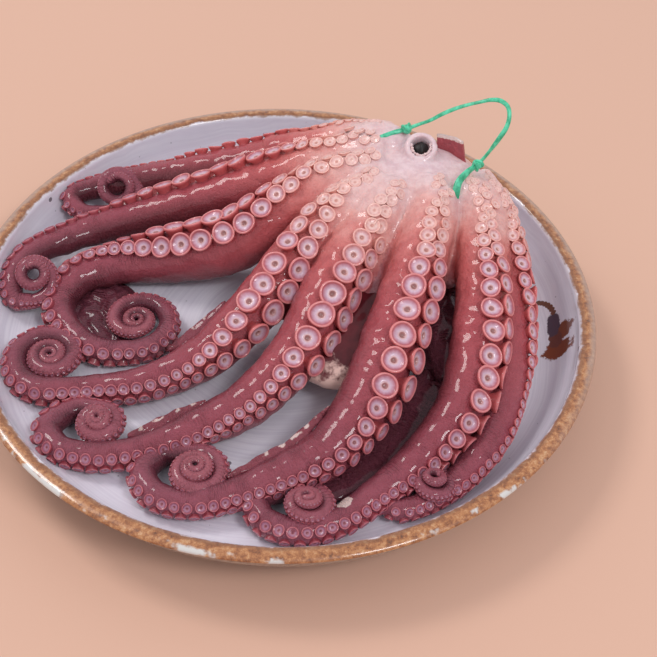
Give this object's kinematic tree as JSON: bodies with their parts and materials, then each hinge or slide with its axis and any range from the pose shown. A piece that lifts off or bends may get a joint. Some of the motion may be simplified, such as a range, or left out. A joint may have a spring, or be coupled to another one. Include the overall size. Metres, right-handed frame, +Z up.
{
  "type": "whole cooked octopus on a plate",
  "caption": "Whole cooked octopus lying mouth up on a shallow round plate, its curled arms showing their suckers, with a short piece of green twine.",
  "frame": {"origin": "middle of the plate's foot ring, on the surface that the plate stands on", "axes": "+Z up; -Y towards the side that the arm tips and the mantle lie on; +X towards the side that the mouth lies on"},
  "size_m": [0.3, 0.3, 0.1015],
  "materials": {
    "stoneware": "glossy brushed glaze, bare speckled clay at the rim",
    "skin": "wet cooked skin",
    "beak": "wet dark horn",
    "twine": "flat plastic twine"
  },
  "bodies": {
    "root": {"plate": "stoneware", "octopus": "skin", "beak": "beak", "twine": "twine"}
  },
  "joints": []
}
